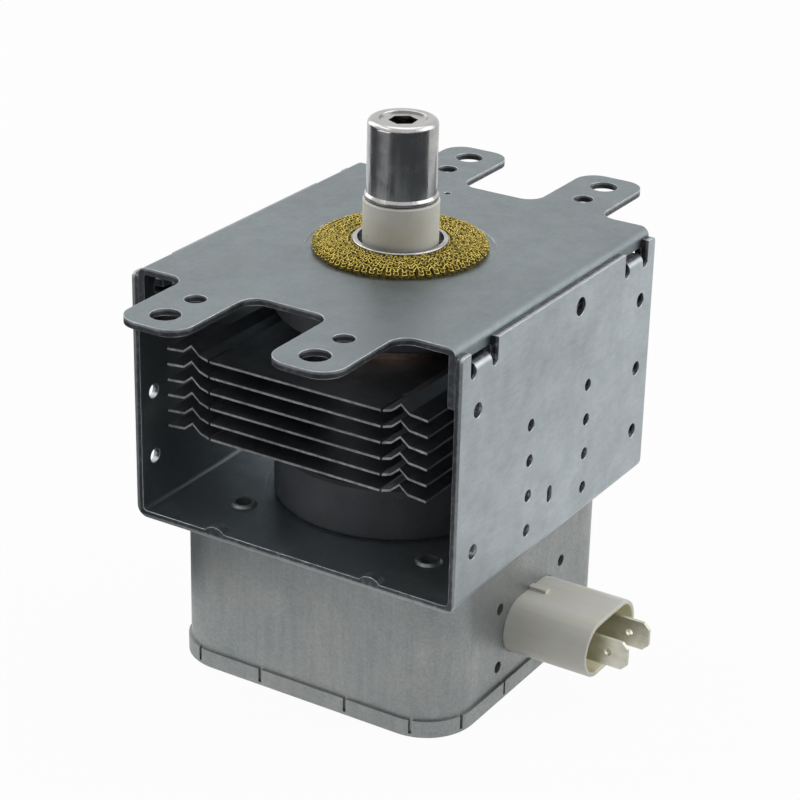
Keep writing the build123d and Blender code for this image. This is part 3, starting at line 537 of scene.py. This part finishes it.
def fired_ceramic(name, colour):
    """Alumina with a faint warm cloud and a few dark specks near its foot."""
    r = Recipe(name, colour, roughness=0.5)
    clouds = r.noise(0.004, detail=3.0)
    specks = r.noise(0.0013, detail=2.0, roughness=0.4)
    fine = r.noise(0.0003, detail=2.0)
    tone = r.mix(r.span(clouds, SOFT), colour, tinted(colour, (0.93, 0.91, 0.84)))
    low = r.span(r.along(Z), DIRTY_HEIGHTS, (1.0, 0.15))
    dirt = r.math("MULTIPLY", r.span(specks, (0.72, 0.82)), low)
    r.set("Base Color", r.mix(dirt, tone, CERAMIC_SPECK))
    r.set("Roughness", r.span(clouds, SOFT, (0.42, 0.58)))
    r.bump((fine, 0.00001), (clouds, 0.00003))
    return r


def moulded_plastic(name, colour, glow=0.15, depth=(0.0012, 0.0010, 0.0007)):
    """Moulded plastic, slightly yellowed and softly glossy, which lets a little light through."""
    r = Recipe(name, colour, roughness=0.42)
    clouds = r.noise(0.008, detail=3.0)
    fine = r.noise(0.0005, detail=2.0)
    flow = r.noise(0.002, stretch=(0.15, 1, 1), detail=3.0)
    tone = r.mix(r.span(clouds, SOFT), colour, tinted(colour, (0.98, 0.96, 0.88)))
    r.set("Base Color", r.stained(tone, (r.span(flow, (0.45, 0.75)), 0.06)))
    r.set("Roughness", r.span(clouds, SOFT, (0.36, 0.5)))
    r.set("Subsurface Weight", glow)
    r.set("Subsurface Radius", depth)
    r.bump((fine, 0.000012), (flow, 0.00003))
    return r


def inside_of_socket(r):
    """Mark the faces that look towards the socket's own axis, and its floor."""
    low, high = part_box("socket_shell")
    middle = (0, (low.y + high.y) / 2, (low.z + high.z) / 2)
    normal = r.normal()
    offset = r.vector_math("SUBTRACT", r.place, middle)
    across = r.vector_math("MULTIPLY", offset, (0, 1, 1))
    towards = r.vector_math("DOT_PRODUCT", normal, across, "Value")
    walls = r.span(towards, WALL_INWARD)
    depths = (high.x - SOCKET_FLOOR_DEPTH, high.x - 2 * SOCKET_FLOOR_DEPTH)
    floor = r.math("MULTIPLY", r.span(r.facing(X), (0.6, 0.8)), r.span(r.along(X), depths))
    return r.math("MAXIMUM", walls, floor)


def socket_plastic(name, colour, painted_glow_colour):
    """Cream plastic with a painted glow inside the socket, warmer and lighter,
    standing for light that comes through its walls.
    """
    r = moulded_plastic(name, colour, glow=0.5, depth=(0.004, 0.0035, 0.0024))
    outer_tone = r.shader.inputs["Base Color"].links[0].from_socket
    # Painted glow: the inside of the socket is given a warmer, lighter cream.
    r.set("Base Color", r.mix(inside_of_socket(r), outer_tone, painted_glow_colour))
    return r


def sealing_compound(name, colour):
    """Cast compound with a grainy, uneven skin."""
    r = Recipe(name, colour, roughness=0.6)
    clouds = r.noise(0.002, detail=4.0)
    grain = r.noise(0.0004, detail=3.0)
    r.set("Base Color", r.stained(colour, (r.span(clouds, SOFT), 0.3)))
    r.set("Roughness", r.span(grain, SOFT, (0.5, 0.75)))
    r.bump((clouds, 0.0002), (grain, 0.00005))
    return r


def sheet_edges_of_plate(r):
    """Mark the plate's cut edges: its ends, and the sides of the ears and holes."""
    ends = r.span(r.facing(Y), FACING)
    upright = r.span(r.facing(Z), FACING_AWAY)
    near_top = r.span(r.along(Z), PLATE_UNDERSIDE)
    inward = r.span(r.math("ABSOLUTE", r.along(X)), FLANGE_INSIDE)
    sides = r.math("MULTIPLY", r.math("MULTIPLY", upright, near_top), inward)
    return r.math("MAXIMUM", ends, sides)


def sheet_edges_of_channel(r):
    """Mark the channel's cut edges: its open ends and the tops of its walls."""
    ends = r.span(r.facing(Y), FACING_SQUARELY)
    tops = r.math("MULTIPLY", r.span(r.facing(Z), FACING), r.span(r.along(Z), WALL_TOPS))
    return r.math("MAXIMUM", ends, tops)


def burnished_edge_of_plate(r):
    """Mark the upper third of the plate's sheared edges."""
    return r.span(r.along(Z), PLATE_BURNISH)


def burnished_edge_of_channel(r):
    """Mark the outer third of the channel's sheared edges."""
    sides = r.span(r.math("ABSOLUTE", r.along(X)), WALL_BURNISH)
    return r.math("MAXIMUM", sides, r.span(r.along(Z), FLOOR_BURNISH))


class MAGNETRON_OT_yoke(bpy.types.Operator):
    """Finish the mounting plate and the channel in satin zinc"""

    bl_idname = "magnetron.yoke"
    bl_label = "Yoke"

    def execute(self, context):
        metal = context.scene.magnetron_metal
        plate = zinc_plate(
            "zinc_plated_plate",
            metal.plate_colour,
            metal.mottle_size,
            sheet_edges_of_plate,
            burnished_edge_of_plate,
        )
        dress(plate, "yoke_top_plate")
        channel = zinc_plate(
            "zinc_plated_channel",
            metal.channel_colour,
            metal.mottle_size,
            sheet_edges_of_channel,
            burnished_edge_of_channel,
        )
        dress(channel, "yoke_body")
        return {"FINISHED"}


class MAGNETRON_OT_fins(bpy.types.Operator):
    """Finish the cooling fins in rolled aluminium with bright sheared edges"""

    bl_idname = "magnetron.fins"
    bl_label = "Cooling fins"

    def execute(self, context):
        colour = context.scene.magnetron_metal.fin_colour
        r = Recipe("rolled_aluminium", colour, metallic=1.0, roughness=0.35)
        rolling = r.noise(0.0006, stretch=(0.05, 1, 1), detail=4.0, roughness=0.7)
        film = r.noise(0.01, detail=3.0)
        burr = r.noise(0.0016, stretch=(1, 0.2, 1.5), detail=4.0, roughness=0.7)
        tone = r.stained(colour, (r.span(film, SOFT), 0.35), (r.span(rolling, PATCHY), 0.15))
        edge_tone = r.stained(SHEARED_ALUMINIUM, (r.span(burr, (0.4, 0.65)), 0.5))
        r.set("Base Color", r.mix(r.span(r.facing(Y), FACING), tone, edge_tone))
        r.set("Roughness", r.span(film, SOFT, (0.28, 0.42)))
        r.bump((rolling, 0.00001), (burr, 0.00002))
        dress(r, *[f"cooling_fin_{number}" for number in range(1, 7)])
        return {"FINISHED"}


class MAGNETRON_OT_magnets(bpy.types.Operator):
    """Finish both ring magnets in ground ferrite"""

    bl_idname = "magnetron.magnets"
    bl_label = "Magnets"

    def execute(self, context):
        dress(ground_ferrite("ground_ferrite", MAGNET_FERRITE), "upper_magnet", "lower_magnet")
        return {"FINISHED"}


class MAGNETRON_OT_tube(bpy.types.Operator):
    """Finish the anode, its vanes and straps, the pole pieces and the metal seals"""

    bl_idname = "magnetron.tube"
    bl_label = "Tube"

    def execute(self, context):
        copper = turned_metal("bare_copper", BARE_COPPER, roughness=0.45, tarnish=0.5)
        vanes = [f"anode_vane_{number}" for number in range(1, 11)]
        straps = [
            f"{end}_{ring}_strap" for end in ("upper", "lower") for ring in ("inner", "outer")
        ]
        dress(copper, "anode_cylinder", "exhaust_tube", "antenna_lead", *vanes, *straps)
        iron = turned_metal("annealed_iron", IRON, roughness=0.45)
        dress(iron, "upper_pole_piece", "lower_pole_piece")
        # The seal steel is darkened as painted shade for the gap at the antenna ceramic's foot.
        seals = turned_metal("drawn_seal_steel_with_painted_shade", SEAL_STEEL_WITH_PAINTED_SHADE, roughness=0.4)
        dress(seals, "output_seal", "input_seal", "exhaust_cup")
        dress(seals, "centre_terminal", "side_terminal")
        return {"FINISHED"}


class MAGNETRON_OT_cathode(bpy.types.Operator):
    """Finish the filament, its end hats and leads, and the stem insulator"""

    bl_idname = "magnetron.cathode"
    bl_label = "Cathode"

    def execute(self, context):
        molybdenum = turned_metal("drawn_molybdenum", MOLYBDENUM, roughness=0.4)
        dress(molybdenum, "upper_end_hat", "lower_end_hat", "centre_lead", "side_lead")
        tungsten = turned_metal("carburised_tungsten", TUNGSTEN, roughness=0.6)
        dress(tungsten, "cathode_filament")
        dress(fired_ceramic("stem_alumina", STEM_ALUMINA), "stem_insulator")
        return {"FINISHED"}


class MAGNETRON_OT_antenna(bpy.types.Operator):
    """Finish the antenna's ceramic and its polished cap"""

    bl_idname = "magnetron.antenna"
    bl_label = "Antenna"

    def execute(self, context):
        dress(fired_ceramic("antenna_alumina", ANTENNA_ALUMINA), "antenna_insulator")
        r = Recipe("drawn_cap_steel", CAP_STEEL, metallic=1.0, roughness=0.2)
        lines = r.noise(0.0004, stretch=(1, 1, 0.04), detail=4.0, roughness=0.7)
        folds = r.noise(0.0016, stretch=(1, 1, 0.18), detail=2.0)
        clouds = r.noise(0.003, detail=4.0)
        low = r.span(r.along(Z), FOLDED_HEIGHTS, (1.0, 0.0))
        stains = (r.span(clouds, (0.4, 0.75)), 0.15), (r.span(lines, FIRM), 0.15)
        r.set("Base Color", r.stained(CAP_STEEL, *stains))
        r.set("Roughness", r.span(clouds, SOFT, (0.16, 0.3)))
        r.bump((lines, 0.000006), (r.math("MULTIPLY", folds, low), 0.00012))
        dress(r, "antenna_cap")
        return {"FINISHED"}


def add_mesh(context, name, build):
    """Turn finished mesh code into an object of the scene."""
    mesh = bpy.data.meshes.new(name)
    build.to_mesh(mesh)
    build.free()
    piece = bpy.data.objects.new(name, mesh)
    context.scene.collection.objects.link(piece)
    return piece


class Bead:
    """Section of the gasket: a low crown from the collar outwards, then a rolled edge."""

    def __init__(self):
        low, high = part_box("mesh_gasket")
        self.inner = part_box("gasket_collar")[1].x
        self.roll = ROLL_SHARE * (high.z - low.z)
        self.edge_away = high.x - self.roll - ROLL_CLEARANCE
        self.edge_height = low.z + self.roll
        self.top = high.z
        self.flat = self.edge_away - self.inner
        self.width = self.flat + self.roll * pi * ROLL_HALF_TURNS

    def point(self, along, rise):
        """Return radius and height at a length along the bead, raised from its surface."""
        if along < self.flat:
            shoulder = self.edge_height + self.roll
            share = along / self.flat
            arch = (self.top - shoulder) * 4 * share * (1 - share)
            return self.inner + along, shoulder + arch + rise
        turn = (along - self.flat) / self.roll
        away = self.roll + rise
        return self.edge_away + away * sin(turn), self.edge_height + away * cos(turn)


def wave(steps_on, row, ring):
    """Return a wave's height at a stitch, from its steps for each row and each ring."""
    return sin(steps_on[0] * row + steps_on[1] * ring)


class MAGNETRON_OT_gasket(bpy.types.Operator):
    """Knit the gasket's brass wire over its core and finish the collar"""

    bl_idname = "magnetron.gasket"
    bl_label = "Gasket"

    def execute(self, context):
        settings = context.scene.magnetron_gasket
        bead = Bead()
        build = bmesh.new()
        for ring in range(settings.rings):
            self.add_wire(build, self.stitches(settings, bead, ring), settings.wire / 2)
        piece = add_mesh(context, "knitted_wire", build)
        for face in piece.data.polygons:
            face.use_smooth = True
        finish = {"roughness": 0.24, "tarnish": 0.65, "stretch": (1, 1, 1), "cloud": 0.0016}
        wire = turned_metal("brass_wire", settings.colour, **finish)
        piece.data.materials.append(wire.material)
        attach(piece, "root")

        # Core: packed wire darkened as painted shade, its weave mixing painted shade and light.
        core = Recipe("packed_wire_painted_shade", PACKED_WIRE_PAINTED_SHADE, metallic=0.8, roughness=0.5)
        weave = core.noise(0.0005, detail=3.0)
        tone = core.mix(core.span(weave, (0.45, 0.7)), WEAVE_PAINTED_SHADE, WEAVE_PAINTED_LIGHT)
        core.set("Base Color", tone)
        core.set("Roughness", core.span(weave, SOFT, (0.45, 0.65)))
        core.bump((weave, 0.0004))
        dress(core, "mesh_gasket")
        collar = turned_metal("collar_steel", COLLAR_STEEL, roughness=0.26, tarnish=0.3)
        dress(collar, "gasket_collar")
        return {"FINISHED"}

    def stitches(self, settings, bead, ring):
        """Return the closed route of one ring of linked loops, each a little uneven."""
        pitch = tau / settings.rows
        step = bead.width / settings.rings
        route = []
        for number in range(settings.rows * STITCH_POINTS):
            turn = tau * (number % STITCH_POINTS) / STITCH_POINTS
            row = number // STITCH_POINTS
            uneven = wave(FAST_WAVE, row, ring) * wave(SLOW_WAVE, row, ring)
            shift = STITCH_LEAN * sin(2 * turn) + STITCH_SHIFT * uneven
            angle = (row + turn / tau + shift) * pitch
            reach = STITCH_REACH + REACH_CHANGE * uneven
            along = (ring + 0.5 - reach * cos(turn)) * step
            along = max(along, COLLAR_CLEARANCE * settings.wire)
            along = min(along, bead.width - settings.wire)
            rise = settings.loop_depth * (STITCH_RISE * cos(2 * turn) + RISE_CHANGE * uneven)
            away, height = bead.point(along, rise)
            route.append(Vector((away * cos(angle), away * sin(angle), height)))
        return route

    def add_wire(self, build, route, radius):
        """Add a closed round wire along a route."""
        count = len(route)
        loops = []
        for number, point in enumerate(route):
            forward = (route[(number + 1) % count] - route[number - 1]).normalized()
            side = forward.cross(UP).normalized()
            up = side.cross(forward)
            loop = []
            for corner in range(WIRE_SIDES):
                angle = tau * corner / WIRE_SIDES
                offset = radius * (cos(angle) * side + sin(angle) * up)
                loop.append(build.verts.new(point + offset))
            loops.append(loop)
        for number in range(count):
            here, there = loops[number], loops[(number + 1) % count]
            for corner in range(WIRE_SIDES):
                after = (corner + 1) % WIRE_SIDES
                build.faces.new((here[corner], here[after], there[after], there[corner]))


class MAGNETRON_OT_filter_box(bpy.types.Operator):
    """Finish the filter box and its lid in galvanised sheet"""

    bl_idname = "magnetron.filter_box"
    bl_label = "Filter box"

    def execute(self, context):
        metal = context.scene.magnetron_metal
        for part in ("box", "lid"):
            sheet = galvanised_sheet(f"galvanised_{part}", metal.box_colour, metal.mottle_size)
            dress(sheet, f"filter_{part}")
        return {"FINISHED"}


class MAGNETRON_OT_socket(bpy.types.Operator):
    """Finish the socket, its tabs and the feed-through capacitor"""

    bl_idname = "magnetron.socket"
    bl_label = "Socket"

    def execute(self, context):
        dress(socket_plastic("cream_plastic", CREAM, PAINTED_GLOW_CREAM), "socket_shell")
        dress(moulded_plastic("cream_casing", CREAM), "rear_case")
        dress(sealing_compound("cream_compound", COMPOUND), "front_filling", "rear_filling")
        tabs = turned_metal("tinned_brass", TINNED_BRASS, roughness=0.4, stretch=(0.1, 1, 1))
        dress(tabs, "tab_conductor_1", "tab_conductor_2")
        dress(turned_metal("plate_steel", PLATE_STEEL, roughness=0.35), "capacitor_plate")
        dress(fired_ceramic("capacitor_ceramic", CAPACITOR_CERAMIC), "capacitor_element")
        return {"FINISHED"}


class MAGNETRON_OT_chokes(bpy.types.Operator):
    """Finish the two choke coils and their cores"""

    bl_idname = "magnetron.chokes"
    bl_label = "Chokes"

    def execute(self, context):
        finish = {"roughness": 0.25, "metallic": 0.8}
        enamel = turned_metal("enamelled_copper", ENAMELLED_COPPER, **finish)
        dress(enamel, "choke_coil_1", "choke_coil_2")
        dress(ground_ferrite("core_ferrite", CORE_FERRITE), "choke_core_1", "choke_core_2")
        return {"FINISHED"}


def turned_view(azimuth, elevation, roll):
    """Return the camera's turn for a view by azimuth, elevation and roll."""
    level = cos(elevation)
    back = Vector((sin(azimuth) * level, -cos(azimuth) * level, sin(elevation)))
    right = (-back).cross(UP).normalized()
    up = right.cross(-back)
    right_rolled = cos(roll) * right + sin(roll) * up
    up_rolled = -sin(roll) * right + cos(roll) * up
    return Matrix((right_rolled, up_rolled, back)).transposed()


class MAGNETRON_OT_studio(bpy.types.Operator):
    """Set the floor, the dark cloth, the soft lamps and the camera"""

    bl_idname = "magnetron.studio"
    bl_label = "Studio"

    def execute(self, context):
        settings = context.scene.magnetron_studio
        self.add_floor(context, settings)
        self.add_dark_cloth(context, settings)
        self.add_world(context, settings)
        for lamp in LAMPS:
            self.add_lamp(context, *lamp)
        self.add_camera(context, settings)
        context.scene.view_settings.view_transform = "Standard"
        return {"FINISHED"}

    def add_floor(self, context, settings):
        """Lay a pale floor that looks white, apart from the object's shadow."""
        build = bmesh.new()
        bmesh.ops.create_grid(build, x_segments=2, y_segments=2, size=FLOOR_SIZE)
        floor = add_mesh(context, "floor", build)
        floor.location.z = solid_box[0][Z] - FLOOR_DROP
        material = bpy.data.materials.new("white_floor")
        material.use_nodes = True
        tree = material.node_tree
        tree.nodes.clear()
        out = tree.nodes.new("ShaderNodeOutputMaterial")
        paint = tree.nodes.new("ShaderNodeBsdfDiffuse")
        paint.inputs["Color"].default_value = (*FLOOR_PAINT, 1.0)
        glow = tree.nodes.new("ShaderNodeEmission")
        blend = tree.nodes.new("ShaderNodeMixShader")
        tree.links.new(self.seen(tree, 0.0, settings.backdrop), blend.inputs[0])
        tree.links.new(paint.outputs[0], blend.inputs[1])
        tree.links.new(glow.outputs[0], blend.inputs[2])
        tree.links.new(blend.outputs[0], out.inputs["Surface"])
        floor.data.materials.append(material)

    def add_dark_cloth(self, context, settings):
        """Put a dark cloth round the camera's side: a lying ring and a low upright wall."""
        level = solid_box[0][Z] + CLOTH_LIFT
        lying = self.add_strip(context, "dark_cloth", settings, CLOTH_INNER, level, level)
        lying.visible_diffuse = False
        lying.visible_shadow = False
        upright = (CLOTH_REACH, CLOTH_REACH)
        top = level + SCREEN_HEIGHT
        self.add_strip(context, "dark_screen", settings, upright, level, top)

    def add_strip(self, context, name, settings, inner, low, high):
        """Add a bent strip of dark cloth from its inner edge, low, to its outer edge, high.

        The inner edge's radius goes from one value to the other along the strip.
        """
        build = bmesh.new()
        strips = []
        for number in range(CLOTH_FACES + 1):
            share = number / CLOTH_FACES
            turn = settings.azimuth + radians(between(CLOTH_SWEEP, share))
            edges = (between(inner, share), low), (CLOTH_REACH, high)
            points = [(away * sin(turn), -away * cos(turn), height) for away, height in edges]
            strips.append([build.verts.new(point) for point in points])
        for here, there in zip(strips, strips[1:]):
            build.faces.new((here[0], there[0], there[1], here[1]))
        cloth = add_mesh(context, name, build)
        cloth.visible_camera = False
        cloth.data.materials.append(Recipe(name, DARK_CLOTH, roughness=0.9).material)
        return cloth

    def add_world(self, context, settings):
        """Give the studio an even light, which looks white behind and in the object."""
        world = bpy.data.worlds.new("studio")
        context.scene.world = world
        world.use_nodes = True
        tree = world.node_tree
        ground = tree.nodes["Background"]
        tree.links.new(self.seen(tree, settings.ambient, 1.0), ground.inputs["Strength"])
        ground.inputs["Color"].default_value = (*WHITE, 1.0)

    def seen(self, tree, hidden, shown):
        """Return shown where the camera, metal or glass sees a surface, else hidden."""
        path = tree.nodes.new("ShaderNodeLightPath")
        total = path.outputs["Is Camera Ray"]
        for kind in ("Is Glossy Ray", "Is Transmission Ray"):
            more = tree.nodes.new("ShaderNodeMath")
            more.operation = "MAXIMUM"
            tree.links.new(total, more.inputs[0])
            tree.links.new(path.outputs[kind], more.inputs[1])
            total = more.outputs[0]
        level = tree.nodes.new("ShaderNodeMapRange")
        level.inputs["To Min"].default_value = hidden
        level.inputs["To Max"].default_value = shown
        tree.links.new(total, level.inputs["Value"])
        return level.outputs[0]

    def add_lamp(self, context, name, place, width, height, brightness):
        """Add a soft lamp that faces the object, with its brightness as radiance."""
        lamp = bpy.data.lights.new(name, "AREA")
        lamp.shape = "RECTANGLE"
        lamp.size = width
        lamp.size_y = height
        lamp.energy = brightness * pi * width * height
        holder = bpy.data.objects.new(name, lamp)
        holder.location = place
        aim = Vector(LAMP_AIM) - Vector(place)
        holder.rotation_euler = aim.to_track_quat("-Z", "Y").to_euler()
        holder.visible_camera = False
        context.scene.collection.objects.link(holder)

    def add_camera(self, context, settings):
        """Set the camera at the photograph's angle."""
        camera = bpy.data.cameras.new("camera")
        camera.lens = settings.lens
        camera.sensor_width = SENSOR_MILLIMETRES
        camera.clip_start = CLIP_START
        holder = bpy.data.objects.new("camera", camera)
        turn = turned_view(settings.azimuth, settings.elevation, settings.roll).to_4x4()
        holder.matrix_world = Matrix.Translation(settings.camera_place) @ turn
        context.scene.collection.objects.link(holder)
        context.scene.camera = holder


steps = (
    MAGNETRON_OT_yoke,
    MAGNETRON_OT_fins,
    MAGNETRON_OT_magnets,
    MAGNETRON_OT_tube,
    MAGNETRON_OT_cathode,
    MAGNETRON_OT_antenna,
    MAGNETRON_OT_gasket,
    MAGNETRON_OT_filter_box,
    MAGNETRON_OT_socket,
    MAGNETRON_OT_chokes,
    MAGNETRON_OT_studio,
)


class MAGNETRON_PT_looks(bpy.types.Panel):
    """Lists the steps that dress the magnetron"""

    bl_label = "Magnetron"
    bl_idname = "MAGNETRON_PT_looks"
    bl_space_type = "VIEW_3D"
    bl_region_type = "UI"
    bl_category = "Magnetron"

    def draw(self, context):
        for group in ("magnetron_metal", "magnetron_gasket", "magnetron_studio"):
            settings = getattr(context.scene, group)
            box = self.layout.box()
            for name in settings.bl_rna.properties.keys():
                if name not in ("rna_type", "name"):
                    box.prop(settings, name)
        for step in steps:
            self.layout.operator(step.bl_idname)


classes = (MetalSettings, GasketSettings, StudioSettings, *steps, MAGNETRON_PT_looks)


def register():
    """Add the classes and their settings to Blender."""
    for item in classes:
        bpy.utils.register_class(item)
    bpy.types.Scene.magnetron_metal = PointerProperty(type=MetalSettings)
    bpy.types.Scene.magnetron_gasket = PointerProperty(type=GasketSettings)
    bpy.types.Scene.magnetron_studio = PointerProperty(type=StudioSettings)


def unregister():
    """Take the classes and their settings out of Blender."""
    del bpy.types.Scene.magnetron_studio
    del bpy.types.Scene.magnetron_gasket
    del bpy.types.Scene.magnetron_metal
    for item in reversed(classes):
        bpy.utils.unregister_class(item)


def main():
    """Dress the object step by step."""
    register()
    for step in steps:
        family, action = step.bl_idname.split(".")
        getattr(getattr(bpy.ops, family), action)()


if __name__ == "__main__":
    main()
